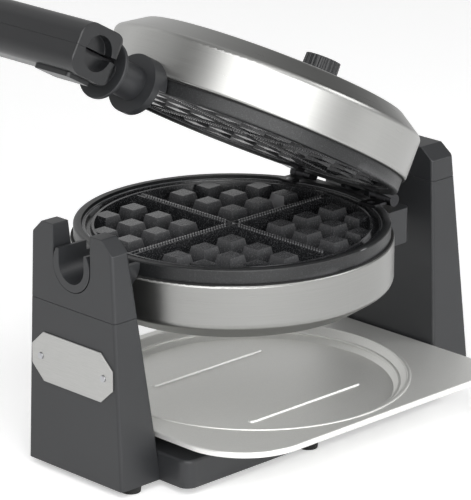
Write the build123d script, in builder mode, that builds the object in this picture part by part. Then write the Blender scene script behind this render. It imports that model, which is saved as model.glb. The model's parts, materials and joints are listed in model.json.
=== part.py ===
from build123d import *
from math import atan2, cos, degrees, hypot, radians, sin
import os

# Rotary Belgian waffle maker, in millimetres, with +Z up.
# A round drum of two hinged halves turns in a front and a rear post above a drip tray.
# Places are measured from the drum's centre line; X is across, Y runs from front post to rear post.

# Place of the drum's centre above the floor, in the frame of the whole object
drum_x = -7.1
drum_y = -12.353
axis_z = 153.0

# Fits and gaps
half_gap = 0.4
run_gap = 0.3
pin_gap = 0.05
slide_gap = 0.1

# Drum rim and the faces of the two posts, from the centre
rim_radius = 110.0
front_face = rim_radius + 38.5
rear_face = rim_radius + 36.4

# Drum half: heights are measured away from the parting plane, radii from the centre line
rim_height = 10.3
rim_lip_radius = rim_radius - 5.5
ledge_radius = rim_radius - 9.0
ledge_depth = 7.0
shell_radius = rim_radius + 2.3
shell_depth = 41.2
bevel_radius = shell_radius - 18.0
drum_depth = shell_depth + 12.0
shell_wall = 1.2
shell_bend = 5.0
roll_height = 2.0

# Waffle plate
plate_lip_depth = 2.5
plate_wall = 3.0
pan_radius = rim_radius - 14.5
pan_floor_radius = pan_radius - 2.7
pan_floor_depth = 18.0
groove_inner_radius = pan_radius + 1.9
groove_outer_radius = groove_inner_radius + 4.2
groove_slope = 0.8
groove_depth = 2.6
stud_pitch = 25.4
stud_start = 24.0
stud_top = 12.6
stud_base = 19.4
divider_top = 6.4
divider_base = 10.6
divider_groove = 1.6
divider_rise = 14.6

# Heating parts inside each half
element_radius = 62.0
element_wire = 3.3
element_sweep = 300.0
post_circle = pan_radius - 15.5
post_radius = 5.0
screen_depth = 39.0
screen_radius = pan_radius - 7.5
screen_sheet = 0.8
screen_flange = 8.0
screw_head_radius = 3.4
screw_head_height = 2.0

# Front journal and neck
journal_radius = 17.9
neck_radius = 12.0
neck_gap = 0.4
journal_fit = 0.02
ear_height = 10.0
collar_radius = 20.5
collar_back = rim_radius + 7.0
collar_width = 6.0
saddle_wall = 3.5
saddle_gap = 0.8
front_collar_gap = 1.6
front_collar_width = 3.0

# Rear shaft and hinge
hinge_y = rim_radius + 1.0
hinge_spread = 40.0
knuckle_radius = 4.5
knuckle_width = 8.0
knuckle_gap = 0.3
hinge_pin_radius = 2.0
leaf_sheet = 2.0
leaf_reach = 19.0
leaf_narrow = 14.0
leaf_neck = 5.2
leaf_screw_radius = 3.0
leaf_screw_back = 8.5
leaf_screw_taper = 40.0
lid_knuckle_width = 5.4
bracket_half_width = 50.0
bracket_front = shell_radius + 10.2
bracket_back = bracket_front + 5.5
hub_radius = 14.0
bracket_top_depth = 8.0
bracket_depth = 34.0
shaft_radius = 11.0
shaft_bore = 7.0
shaft_end = rear_face + 15.6
lid_open = 29.5

# Handle, folded to the left
handle_pivot_y = front_face + 31.5
handle_width = 41.0
handle_height = 36.0
handle_drop = -5.0
handle_root = 20.0
handle_reach = 88.0
handle_round = 11.0
root_round = 6.0
recess_radius = 12.0
recess_depth = 7.0
hinge_plate_sheet = 2.4
hinge_plate_gap = 0.3
hinge_plate_half_width = 8.0
hinge_plate_root = 8.0
handle_pin_radius = 3.0
lever_start = -22.0
lever_end = 12.0
lever_width = 22.0
lever_sheet = 5.0
lever_sunk = 2.0
lever_travel = 2.0
stem_x = -15.0
stem_radius = 2.5
stem_length = 6.0
handle_wall = 2.6
handle_core = 26.0
handle_end_round = 9.0
handle_pin_half = 12.0

# Knob, lights and thermostat on the lid
knob_y = 44.0
knob_radius = 13.5
knob_height = 21.0
knob_flutes = 24
spindle_radius = 3.0
light_radius = 3.5
light_spread = 22.0
light_back = 28.0
flute_radius = 1.0
knob_skirt = 1.0
spindle_grip = 9.0
spindle_drop = 3.0
thermostat_length = 30.0
thermostat_width = 22.0

# Front post
post_bottom = 5.0
front_half_width = 47.2
front_shoulder = 168.4
front_shoulder_half = 39.9
front_top = 178.3
front_top_half = 29.5
front_depth = 34.3
front_top_depth = 14.0
front_seam = 122.3
foot_height = 25.0
post_edge = 2.5

# Rear post
rear_half_width = 58.3
rear_shoulder = 174.4
rear_shoulder_half = 52.4
rear_top = 183.1
rear_top_half = 41.6
rear_depth = 38.1
rear_top_depth = 21.4
rear_seam = 159.4
bush_wall = 3.0

# Base
base_half_width = 74.3
base_top = 25.0
base_wall = 3.0
base_cover_sheet = 2.5
foot_radius = 7.5
cover_screw_x = (-62.0, 62.0)
cover_screw_y = (-(rim_radius - 10.0), rim_radius - 10.0)
cover_post_radius = 4.0
cover_screw_hole = 2.0
foot_places = [(39.0, -133.0), (66.0, 9.0), (48.0, 168.0)]
inlet_x = -30.0
inlet_z = 24.0
inlet_radius = 6.5
inlet_bore = 3.6
inlet_length = 4.0
runner_width = 6.0
runner_spread = 62.0

# Drip tray
tray_x = 11.0
tray_half_width = 115.5
tray_front = -(rim_radius + 3.4)
tray_back = rear_face - 2.0
tray_rim = 38.7
tray_sheet = 1.5
tray_lip = 4.0
tray_front_corner = 50.0
tray_rear_corner = 35.0
well_y = 12.0
well_radius = rim_radius - 4.0
well_floor_radius = well_radius - 9.0
well_floor = 30.1
tray_rib_half_spread = 48.5
tray_rib_length = 108.0
tray_rib_width = 6.0
tray_rib_rise = 1.2

# Nameplate
plate_z = 82.5
plate_half_width = 40.3
plate_half_height = 17.6
plate_flat_half_width = 28.6
plate_side_half_height = 7.0
name_sheet = 1.2
rivet_spread = 31.2
rivet_radius = 2.6
rivet_rise = 1.0


def flat(z):
    """Horizontal plane at height z, centred under the drum."""
    return Plane(origin=(drum_x, drum_y, z))


def facing(y):
    """Upright plane across the machine, its normal towards the front; its height counts from the axis."""
    return Plane(origin=(drum_x, drum_y + y, axis_z), x_dir=(1, 0, 0), z_dir=(0, -1, 0))


def upright(y):
    """Upright plane across the machine, its normal towards the front; its height counts from the floor."""
    return Plane(origin=(drum_x, drum_y + y, 0), x_dir=(1, 0, 0), z_dir=(0, -1, 0))


def profile(x):
    """Upright plane along the machine, its normal to the right; its height counts from the floor."""
    return Plane(origin=(drum_x + x, drum_y, 0), x_dir=(0, 1, 0), z_dir=(1, 0, 0))


def as_built(plane):
    """The lower half and the stand stay level."""
    return plane


hinge_line = Location((drum_x, drum_y + hinge_y, axis_z))
lid_turn = hinge_line * Location((0, 0, 0), (-lid_open, 0, 0)) * hinge_line.inverse()


def on_lid(plane):
    """The same plane carried by the lid, which stands open about its hinge line."""
    return Plane(lid_turn * plane.location)


def level(side, depth):
    """Horizontal plane at a depth from the parting plane, below it for side -1 and above it for side 1."""
    return flat(axis_z + side * depth)


def turn_axis(plane):
    """The upright axis of a section plane."""
    return Axis(plane.origin, plane.y_dir)


def save(part, label):
    """Name a piece and write it to its own file."""
    part.label = label
    export_step(part, f"parts/{label}.step")


os.makedirs("parts", exist_ok=True)

# Sizes that follow from the others
plate_top_depth = half_gap + plate_lip_depth
screw_places = [(post_circle * cos(radians(a)), post_circle * sin(radians(a))) for a in (45, 135, 225, 315)]
stud_rows = [stud_start + stud_pitch * k for k in range(3)]
stud_lines = sorted([-row for row in stud_rows] + stud_rows)
stud_places = [(x, y) for x in stud_lines for y in stud_lines if hypot(x, y) < pan_floor_radius]
divider_depth = pan_floor_depth - divider_rise
stud_rise = pan_floor_depth - plate_top_depth
stud_taper = degrees(atan2((stud_base - stud_top) / 2, stud_rise))
front_collar_back = front_face + front_collar_gap
front_collar_face = front_collar_back + front_collar_width
lid_knuckle_offset = (knuckle_width + lid_knuckle_width) / 2 + knuckle_gap
leaf_widths = {-1: leaf_narrow, 1: 2 * lid_knuckle_offset + lid_knuckle_width}
trough_start = collar_back + collar_width + saddle_gap
trough_end = front_face + run_gap
saddle_inner = collar_radius + saddle_gap
saddle_outer = saddle_inner + saddle_wall
neck_bore = neck_radius + neck_gap
seam_z = axis_z - handle_drop
handle_inner_y = handle_pivot_y - handle_width / 2
handle_bottom = seam_z - handle_height / 2
post_back = front_face - front_depth
well_underside = well_floor - tray_sheet


def half_housing(side, place):
    """Brushed steel shell of one drum half: rolled edge, straight wall, bevelled shoulder and flat end."""
    section = place(facing(0))
    inner = shell_radius - shell_wall
    top = rim_height + half_gap
    with BuildPart() as shell:
        with BuildSketch(section):
            with BuildLine():
                FilletPolyline(
                    (ledge_radius, side * top),
                    (shell_radius, side * top),
                    (shell_radius, side * shell_depth),
                    (bevel_radius, side * drum_depth),
                    (0, side * drum_depth),
                    radius=[roll_height, shell_bend, shell_bend],
                )
                Line((0, side * drum_depth), (0, side * (drum_depth - shell_wall)))
                FilletPolyline(
                    (0, side * (drum_depth - shell_wall)),
                    (bevel_radius - shell_wall / 2, side * (drum_depth - shell_wall)),
                    (inner, side * (shell_depth - shell_wall / 2)),
                    (inner, side * (top + shell_wall)),
                    (ledge_radius, side * (top + shell_wall)),
                    radius=[shell_bend - shell_wall, shell_bend - shell_wall, roll_height - shell_wall],
                )
                Line((ledge_radius, side * (top + shell_wall)), (ledge_radius, side * top))
            make_face()
        revolve(axis=turn_axis(section))
    return shell.part


def half_bezel(side, place):
    """Textured ring round the rim, with an inner ledge that carries the waffle plate."""
    section = place(facing(0))
    with BuildPart() as ring:
        with BuildSketch(section):
            with BuildLine():
                FilletPolyline(
                    (rim_lip_radius, side * half_gap),
                    (rim_radius, side * half_gap),
                    (rim_radius, side * (rim_height + half_gap)),
                    (ledge_radius, side * (rim_height + half_gap)),
                    (ledge_radius, side * ledge_depth),
                    (rim_lip_radius, side * ledge_depth),
                    radius=[1.4, 0.4, 0.4, 0.4],
                )
                Line((rim_lip_radius, side * ledge_depth), (rim_lip_radius, side * half_gap))
            make_face()
        revolve(axis=turn_axis(section))
        with BuildSketch(place(level(side, half_gap))):
            with Locations((-hinge_spread, hinge_y - leaf_reach / 2), (hinge_spread, hinge_y - leaf_reach / 2)):
                Rectangle(leaf_widths[side] + 2 * slide_gap, leaf_reach)
        extrude(amount=side * (leaf_sheet + pin_gap), mode=Mode.SUBTRACT)
    return ring.part


def waffle_studs(side, place):
    """Tapered pocket formers and the two crossed, grooved dividers, trimmed to the pan."""
    with BuildPart() as studs:
        with BuildSketch(place(level(side, pan_floor_depth))):
            with Locations(*stud_places):
                Rectangle(stud_base, stud_base)
        extrude(amount=-side * stud_rise, taper=stud_taper)
        for turn in (0, 90):
            ridge_plane = place(facing(0)) if turn == 0 else place(cross_plane())
            with BuildSketch(ridge_plane):
                with BuildLine():
                    Polyline(
                        (-divider_base / 2, side * pan_floor_depth),
                        (-divider_top / 2, side * divider_depth),
                        (-divider_groove, side * divider_depth),
                        (0, side * (divider_depth + divider_groove)),
                        (divider_groove, side * divider_depth),
                        (divider_top / 2, side * divider_depth),
                        (divider_base / 2, side * pan_floor_depth),
                        close=True,
                    )
                make_face()
            extrude(amount=pan_radius, both=True)
        with BuildSketch(place(level(side, 0))):
            Circle(pan_radius + plate_wall / 3)
        extrude(amount=side * (pan_floor_depth + 1), mode=Mode.INTERSECT)
    return studs.part


def cross_plane():
    """Section plane along the machine, its height counted from the parting plane."""
    return Plane(origin=(drum_x, drum_y, axis_z), x_dir=(0, 1, 0), z_dir=(1, 0, 0))


def half_plate(side, place):
    """Cast waffle plate: pan with studs and dividers, overflow groove, rim flange and screw bosses."""
    section = place(facing(0))
    back = pan_floor_depth + plate_wall
    seat = ledge_depth
    flange = rim_lip_radius - pin_gap
    studs = waffle_studs(side, place)
    with BuildPart() as plate:
        with BuildSketch(section):
            with BuildLine():
                Polyline(
                    (0, side * pan_floor_depth),
                    (pan_floor_radius, side * pan_floor_depth),
                    (pan_radius, side * plate_top_depth),
                    (groove_inner_radius, side * plate_top_depth),
                    (groove_inner_radius + groove_slope, side * (plate_top_depth + groove_depth)),
                    (groove_outer_radius - groove_slope, side * (plate_top_depth + groove_depth)),
                    (groove_outer_radius, side * plate_top_depth),
                    (flange, side * plate_top_depth),
                    (flange, side * seat),
                    (pan_radius + plate_wall, side * seat),
                    (pan_floor_radius + plate_wall, side * back),
                    (0, side * back),
                    close=True,
                )
            make_face()
        revolve(axis=turn_axis(section))
        add(studs)
        with BuildSketch(place(level(side, back))):
            with Locations(*screw_places):
                Circle(post_radius)
        extrude(amount=side * (screen_depth - back))
        with BuildSketch(place(level(side, back))):
            Circle(element_radius + 2.4 * element_wire)
            Circle(element_radius - 2.4 * element_wire, mode=Mode.SUBTRACT)
        extrude(amount=side * element_wire)
        with BuildSketch(section):
            with Locations((element_radius, side * (back + element_wire))):
                Circle(element_wire + pin_gap)
        revolve(axis=turn_axis(section), mode=Mode.SUBTRACT)
    return plate.part


def half_element(side, place):
    """Round heating rod, an open ring pressed into the channel on the back of the plate."""
    section = place(facing(0))
    with BuildPart() as rod:
        with BuildSketch(section):
            with Locations((element_radius, side * (pan_floor_depth + plate_wall + element_wire))):
                Circle(element_wire)
        revolve(axis=turn_axis(section), revolution_arc=element_sweep)
    return rod.part


def half_screen(side, place):
    """Thin heat screen between the element and the outer shell, screwed to the plate's bosses."""
    section = place(facing(0))
    with BuildPart() as screen:
        with BuildSketch(section):
            with BuildLine():
                Polyline(
                    (0, side * screen_depth),
                    (screen_radius - screen_sheet, side * screen_depth),
                    (screen_radius - screen_sheet, side * (screen_depth - screen_flange)),
                    (screen_radius, side * (screen_depth - screen_flange)),
                    (screen_radius, side * (screen_depth + screen_sheet)),
                    (0, side * (screen_depth + screen_sheet)),
                    close=True,
                )
            make_face()
        revolve(axis=turn_axis(section))
    return screen.part


def half_screws(side, place):
    """Four pan head screws that hold the heat screen to the plate."""
    with BuildPart() as screws:
        with BuildSketch(place(level(side, screen_depth + screen_sheet))):
            with Locations(*screw_places):
                Circle(screw_head_radius)
        extrude(amount=side * screw_head_height)
        chamfer(screws.edges().group_by(Axis(place(level(side, 0)).origin, place(level(side, 0)).z_dir))[
            -1 if side > 0 else 0], 0.6)
    return screws.part


for side, name, place in ((-1, "lower", as_built), (1, "upper", on_lid)):
    save(half_bezel(side, place), f"{name}_bezel")
    save(half_plate(side, place), f"{name}_plate")
    save(half_element(side, place), f"{name}_heating_element")
    save(half_screen(side, place), f"{name}_heat_screen")
    save(half_screws(side, place), f"{name}_screen_screws")

# Outer shells: the upper one is pierced for the knob's spindle and the two lights
light_places = [(-light_spread / 2, knob_y - light_back), (light_spread / 2, knob_y - light_back)]
save(half_housing(-1, as_built), "lower_housing")
lid_shell = half_housing(1, on_lid)
with BuildPart() as upper_housing:
    add(lid_shell)
    with BuildSketch(on_lid(level(1, drum_depth + 1))):
        with Locations((0, knob_y)):
            Circle(spindle_radius + run_gap)
        with Locations(*light_places):
            Circle(light_radius)
    extrude(amount=-2 * shell_wall - 1, mode=Mode.SUBTRACT)
save(upper_housing.part, "upper_housing")

# Lower half journal: a trough with raised ears that turns in the front notch, and a saddle behind it
with BuildPart() as lower_neck:
    with BuildSketch(facing(-trough_start)):
        Circle(journal_radius)
        Circle(neck_bore, mode=Mode.SUBTRACT)
        with Locations((0, journal_radius)):
            Rectangle(2 * neck_bore, 2 * journal_radius, mode=Mode.SUBTRACT)
        with Locations((0, ear_height + journal_radius)):
            Rectangle(4 * journal_radius, 2 * journal_radius, mode=Mode.SUBTRACT)
    extrude(amount=trough_end - trough_start)
    with BuildSketch(facing(-rim_radius + collar_width)):
        Circle(saddle_outer)
        Circle(saddle_inner, mode=Mode.SUBTRACT)
        with Locations((0, saddle_outer - half_gap)):
            Rectangle(2 * saddle_outer, 2 * saddle_outer, mode=Mode.SUBTRACT)
    extrude(amount=trough_start + saddle_wall - rim_radius + collar_width)
    with BuildSketch(facing(-trough_start)):
        Circle(saddle_outer)
        Circle(neck_bore, mode=Mode.SUBTRACT)
        with Locations((0, saddle_outer - half_gap)):
            Rectangle(2 * saddle_outer, 2 * saddle_outer, mode=Mode.SUBTRACT)
    extrude(amount=saddle_wall)
    with BuildSketch(flat(0)):
        Circle(shell_radius)
    extrude(amount=2 * axis_z, mode=Mode.SUBTRACT)
save(lower_neck.part, "lower_neck")

# Upper neck: a collar that holds the journal, carried on the lid's wall by a lug
with BuildPart() as upper_neck:
    with BuildSketch(on_lid(facing(-collar_back))):
        Circle(collar_radius)
    extrude(amount=collar_width)
    with BuildSketch(on_lid(facing(-rim_radius + collar_width))):
        Circle(collar_radius)
        with Locations((0, -collar_radius + 2 * half_gap)):
            Rectangle(3 * collar_radius, 2 * collar_radius, mode=Mode.SUBTRACT)
    extrude(amount=collar_back - rim_radius + collar_width)
    with BuildSketch(on_lid(flat(0))):
        Circle(shell_radius)
    extrude(amount=2 * axis_z, mode=Mode.SUBTRACT)
    with BuildSketch(on_lid(facing(-shell_radius - saddle_gap))):
        Circle(neck_radius + journal_fit)
    extrude(amount=front_collar_face - shell_radius, mode=Mode.SUBTRACT)
save(upper_neck.part, "upper_neck")

# Journal: the round bar that lies in the trough when the lid is closed, slotted for the hinge plate
with BuildPart() as neck_journal:
    with BuildSketch(on_lid(facing(-shell_radius - saddle_gap))):
        Circle(neck_radius)
    extrude(amount=front_collar_face - shell_radius - saddle_gap)
    with BuildSketch(on_lid(flat(seam_z - hinge_plate_sheet / 2))):
        with Locations((0, -front_collar_face)):
            Rectangle(2 * hinge_plate_half_width, 2 * hinge_plate_root)
    extrude(amount=hinge_plate_sheet, mode=Mode.SUBTRACT)
save(neck_journal.part, "neck_journal")

# Thrust collar on the journal's end, in front of the post
with BuildPart() as neck_collar:
    with BuildSketch(on_lid(facing(-front_collar_back))):
        Circle(collar_radius)
        Circle(neck_radius + journal_fit, mode=Mode.SUBTRACT)
    extrude(amount=front_collar_width)
save(neck_collar.part, "neck_collar")

# Steel hinge plate let into the neck, with the round end that the handle turns on
with BuildPart() as handle_hinge_plate:
    with BuildSketch(on_lid(flat(seam_z - hinge_plate_sheet / 2))):
        with Locations((0, -(front_collar_face - hinge_plate_root + handle_pivot_y) / 2)):
            Rectangle(2 * hinge_plate_half_width, handle_pivot_y - front_collar_face + hinge_plate_root)
        with Locations((0, -handle_pivot_y)):
            Circle(hinge_plate_half_width)
            Circle(handle_pin_radius + pin_gap, mode=Mode.SUBTRACT)
    extrude(amount=hinge_plate_sheet)
save(handle_hinge_plate.part, "handle_hinge_plate")


def handle_shell(side):
    """Upper or lower moulded half of the handle, solid round the pivot and hollow along the grip."""
    length = handle_root + handle_reach
    with BuildPart() as shell:
        with BuildSketch(on_lid(profile(handle_root))):
            with Locations((-handle_pivot_y, seam_z)):
                RectangleRounded(handle_width, handle_height, handle_round)
        extrude(amount=-length)
        with BuildSketch(on_lid(flat(seam_z))):
            with BuildLine():
                FilletPolyline(
                    (0, -handle_inner_y),
                    (handle_root, -handle_inner_y),
                    (handle_root, -handle_inner_y - handle_width),
                    (-handle_reach, -handle_inner_y - handle_width),
                    (-handle_reach, -handle_inner_y),
                    (-handle_core, -handle_inner_y),
                    radius=[root_round, 1.5, handle_end_round, handle_end_round],
                )
                Line((-handle_core, -handle_inner_y), (0, -handle_inner_y))
            make_face()
        extrude(amount=side * handle_height, mode=Mode.INTERSECT)
        with BuildSketch(on_lid(profile(-handle_core))):
            with Locations((-handle_pivot_y, seam_z)):
                RectangleRounded(
                    handle_width - 2 * handle_wall,
                    handle_height - 2 * handle_wall,
                    handle_round - handle_wall,
                )
        extrude(amount=handle_core - handle_reach + handle_end_round, mode=Mode.SUBTRACT)
        with BuildSketch(on_lid(profile(handle_root))):
            with Locations((-handle_pivot_y, seam_z)):
                Circle(recess_radius)
        extrude(amount=-recess_depth, mode=Mode.SUBTRACT)
        with BuildSketch(on_lid(flat(seam_z))):
            with Locations((0, -handle_pivot_y)):
                Circle(handle_pin_radius)
        extrude(amount=side * handle_pin_half, mode=Mode.SUBTRACT)
        swept = hinge_plate_half_width + saddle_gap
        with BuildSketch(on_lid(flat(seam_z))):
            with Locations(((handle_width - swept) / 2, -handle_pivot_y + (handle_width - swept) / 2)):
                Rectangle(handle_width + swept, handle_width + swept)
        extrude(amount=side * (hinge_plate_sheet / 2 + hinge_plate_gap), mode=Mode.SUBTRACT)
    return shell.part


# Handle, in two moulded halves with the pivot pin held between them
save(handle_shell(1), "handle_upper_shell")
lower_shell = handle_shell(-1)
lever_middle = (lever_start + lever_end) / 2
lever_length = lever_end - lever_start
lever_top = handle_bottom + lever_sunk
with BuildPart() as handle_lower_shell:
    add(lower_shell)
    with BuildSketch(on_lid(flat(handle_bottom - 1))):
        with Locations((lever_middle, -handle_pivot_y)):
            RectangleRounded(lever_length + 2 * run_gap, lever_width + 2 * run_gap, 3)
    extrude(amount=1 + lever_sunk + lever_travel + run_gap, mode=Mode.SUBTRACT)
    with BuildSketch(on_lid(flat(handle_bottom))):
        with Locations((stem_x, -handle_pivot_y)):
            Circle(stem_radius + pin_gap)
    extrude(amount=lever_sunk + stem_length + lever_travel + run_gap, mode=Mode.SUBTRACT)
save(handle_lower_shell.part, "handle_lower_shell")

with BuildPart() as handle_pin:
    with BuildSketch(on_lid(flat(seam_z))):
        with Locations((0, -handle_pivot_y)):
            Circle(handle_pin_radius)
    extrude(amount=handle_pin_half, both=True)
save(handle_pin.part, "handle_pin")

# Release lever under the handle, guided by a short stem
with BuildPart() as release_lever:
    with BuildSketch(on_lid(flat(lever_top))):
        with Locations((lever_middle, -handle_pivot_y)):
            RectangleRounded(lever_length, lever_width, 3)
    extrude(amount=-lever_sheet)
    with BuildSketch(on_lid(flat(lever_top))):
        with Locations((stem_x, -handle_pivot_y)):
            Circle(stem_radius)
    extrude(amount=stem_length)
save(release_lever.part, "release_lever")

# Browning knob with flutes, on its own spindle above the thermostat
with BuildPart() as browning_knob:
    with BuildSketch(on_lid(level(1, drum_depth + run_gap))):
        with Locations((0, knob_y)):
            Circle(knob_radius)
            with PolarLocations(knob_radius + flute_radius / 2, knob_flutes):
                Circle(flute_radius, mode=Mode.SUBTRACT)
    extrude(amount=knob_height, taper=2)
    with BuildSketch(on_lid(level(1, drum_depth + run_gap))):
        with Locations((0, knob_y)):
            Circle(knob_radius + knob_skirt)
    extrude(amount=knob_skirt)
    with BuildSketch(on_lid(level(1, drum_depth + run_gap))):
        with Locations((0, knob_y)):
            Circle(spindle_radius)
    extrude(amount=spindle_grip, mode=Mode.SUBTRACT)
save(browning_knob.part, "browning_knob")

thermostat_top = drum_depth - shell_wall - spindle_drop
with BuildPart() as knob_spindle:
    with BuildSketch(on_lid(level(1, thermostat_top + run_gap))):
        with Locations((0, knob_y)):
            Circle(spindle_radius)
    extrude(amount=drum_depth + spindle_grip - thermostat_top)
save(knob_spindle.part, "knob_spindle")

with BuildPart() as thermostat:
    with BuildSketch(on_lid(level(1, screen_depth + screen_sheet))):
        with Locations((0, knob_y)):
            RectangleRounded(thermostat_length, thermostat_width, 2)
    extrude(amount=thermostat_top - screen_depth - screen_sheet)
save(thermostat.part, "thermostat")

with BuildPart() as indicator_lights:
    with BuildSketch(on_lid(level(1, drum_depth - 3 * shell_wall))):
        with Locations(*light_places):
            Circle(light_radius)
    extrude(amount=4 * shell_wall)
    fillet(indicator_lights.edges().filter_by(GeomType.CIRCLE).group_by(
        Axis(on_lid(level(1, 0)).origin, on_lid(level(1, 0)).z_dir))[-1], 1.0)
save(indicator_lights.part, "indicator_lights")


def rim_screws(side, place):
    """Countersunk screws that lie flush in the hinge leaves."""
    with BuildPart() as screws:
        with BuildSketch(place(level(side, half_gap))):
            with Locations(*leaf_screw_places):
                Circle(leaf_screw_radius)
        extrude(amount=side * leaf_sheet, taper=leaf_screw_taper)
    return screws.part


def rim_leaves(side, place, knuckles, width):
    """Two steel hinge leaves let into the rim, each rolled into knuckles round the hinge line."""
    screws = rim_screws(side, place)
    with BuildPart() as leaves:
        with BuildSketch(place(level(side, half_gap))):
            with Locations(*[(k * hinge_spread, hinge_y - leaf_neck - leaf_plate / 2) for k in (-1, 1)]):
                Rectangle(leaf_widths[side], leaf_plate)
            for offset in knuckles:
                with Locations(*[(k * hinge_spread + offset, hinge_y - leaf_neck) for k in (-1, 1)]):
                    Rectangle(width, 2 * leaf_neck)
        extrude(amount=side * leaf_sheet)
        for k in (-1, 1):
            for offset in knuckles:
                with BuildSketch(place(profile(k * hinge_spread + offset))):
                    with Locations((hinge_y, axis_z)):
                        Circle(knuckle_radius)
                extrude(amount=width / 2, both=True)
        bore = hinge_pin_radius if side < 0 else hinge_pin_radius + pin_gap
        with BuildSketch(place(profile(0))):
            with Locations((hinge_y, axis_z)):
                Circle(bore)
        extrude(amount=2 * hinge_spread, both=True, mode=Mode.SUBTRACT)
        add(screws, mode=Mode.SUBTRACT)
    return leaves.part


# Lid hinge: leaves on both rims, their screws and the two pins
leaf_plate = leaf_reach - leaf_neck
leaf_screw_places = [(k * hinge_spread, hinge_y - leaf_neck - leaf_screw_back) for k in (-1, 1)]
lid_knuckles = (-lid_knuckle_offset, lid_knuckle_offset)
save(rim_leaves(-1, as_built, (0,), knuckle_width), "lower_hinge_leaves")
save(rim_leaves(1, on_lid, lid_knuckles, lid_knuckle_width), "upper_hinge_leaves")
save(rim_screws(-1, as_built), "lower_hinge_screws")
save(rim_screws(1, on_lid), "upper_hinge_screws")
with BuildPart() as hinge_pins:
    for k in (-1, 1):
        with BuildSketch(profile(k * hinge_spread)):
            with Locations((hinge_y, axis_z)):
                Circle(hinge_pin_radius)
        extrude(amount=leaf_widths[1] / 2, both=True)
save(hinge_pins.part, "hinge_pins")

# Rear bracket: moulded block on the drum's back wall with a round hub for the shaft
with BuildPart() as rear_bracket:
    with BuildSketch(flat(axis_z - bracket_depth)):
        with Locations((0, bracket_back - shell_radius / 4)):
            RectangleRounded(2 * bracket_half_width, shell_radius / 2, 6)
    extrude(amount=bracket_depth - bracket_top_depth)
    with BuildSketch(facing(bracket_back)):
        Circle(hub_radius)
        with Locations((0, -hub_radius)):
            Rectangle(2 * hub_radius, 2 * hub_radius)
    extrude(amount=bracket_back - bracket_front)
    with BuildSketch(facing(bracket_back)):
        Circle(shaft_radius)
    extrude(amount=bracket_back - bracket_front, mode=Mode.SUBTRACT)
    with BuildSketch(flat(0)):
        Circle(shell_radius)
    extrude(amount=2 * axis_z, mode=Mode.SUBTRACT)
save(rear_bracket.part, "rear_bracket")

# Hollow rear shaft that turns in the bush of the rear post
with BuildPart() as rear_shaft:
    with BuildSketch(facing(bracket_front)):
        Circle(shaft_radius)
        Circle(shaft_bore, mode=Mode.SUBTRACT)
    extrude(amount=bracket_front - shaft_end)
save(rear_shaft.part, "rear_shaft")


def front_post(low, high):
    """Slice of the tapered front post between two heights, with the open notch for the journal."""
    with BuildPart() as post:
        with BuildSketch(profile(0)):
            with BuildLine():
                Polyline(
                    (-front_face, post_bottom),
                    (-front_face, front_top),
                    (-front_face + front_top_depth, front_top),
                    (-post_back, foot_height),
                    (-post_back, post_bottom),
                    close=True,
                )
            make_face()
        extrude(amount=front_half_width, both=True)
        with BuildSketch(upright(-front_face)):
            with BuildLine():
                Polyline(
                    (front_half_width, post_bottom),
                    (front_shoulder_half, front_shoulder),
                    (front_top_half, front_top),
                    (-front_top_half, front_top),
                    (-front_shoulder_half, front_shoulder),
                    (-front_half_width, post_bottom),
                    close=True,
                )
            make_face()
        extrude(amount=-front_depth, mode=Mode.INTERSECT)
        fillet(post.edges().filter_by(GeomType.LINE).filter_by(upright_edge), post_edge)
        with BuildSketch(upright(-front_face)):
            with Locations((0, axis_z)):
                Circle(journal_radius + run_gap)
            with Locations((0, axis_z + front_top / 2)):
                Rectangle(2 * (journal_radius + run_gap), front_top)
        extrude(amount=-front_depth, mode=Mode.SUBTRACT)
        with BuildSketch(flat(low)):
            Rectangle(4 * front_half_width, 4 * front_face)
        extrude(amount=high - low, mode=Mode.INTERSECT)
    return post.part


def upright_edge(edge):
    """True for the long, nearly upright edges of a post."""
    return edge.bounding_box().size.Z > front_seam


def rear_post(low, high):
    """Slice of the tapered rear post between two heights, bored for the bearing bush."""
    with BuildPart() as post:
        with BuildSketch(profile(0)):
            with BuildLine():
                Polyline(
                    (rear_face, post_bottom),
                    (rear_face, rear_top),
                    (rear_face + rear_top_depth, rear_top),
                    (rear_face + rear_depth, post_bottom),
                    close=True,
                )
            make_face()
        extrude(amount=rear_half_width, both=True)
        with BuildSketch(upright(rear_face)):
            with BuildLine():
                Polyline(
                    (rear_half_width, post_bottom),
                    (rear_shoulder_half, rear_shoulder),
                    (rear_top_half, rear_top),
                    (-rear_top_half, rear_top),
                    (-rear_shoulder_half, rear_shoulder),
                    (-rear_half_width, post_bottom),
                    close=True,
                )
            make_face()
        extrude(amount=-rear_depth, mode=Mode.INTERSECT)
        fillet(post.edges().filter_by(GeomType.LINE).filter_by(upright_edge), post_edge)
        with BuildSketch(facing(rear_face)):
            Circle(shaft_radius + pin_gap + bush_wall)
        extrude(amount=rear_face - shaft_end - saddle_gap, mode=Mode.SUBTRACT)
        with BuildSketch(flat(low)):
            Rectangle(4 * rear_half_width, 4 * (rear_face + rear_depth))
        extrude(amount=high - low, mode=Mode.INTERSECT)
    return post.part


# Posts: each a long column with a cap above the seam
save(front_post(post_bottom, front_seam), "front_post_column")
save(front_post(front_seam, front_top), "front_post_cap")
save(rear_post(post_bottom, rear_seam), "rear_post_column")
save(rear_post(rear_seam, rear_top), "rear_post_cap")
with BuildPart() as rear_bush:
    with BuildSketch(facing(rear_face)):
        Circle(shaft_radius + pin_gap + bush_wall)
        Circle(shaft_radius + pin_gap, mode=Mode.SUBTRACT)
    extrude(amount=rear_face - shaft_end)
save(rear_bush.part, "rear_bush")

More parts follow.
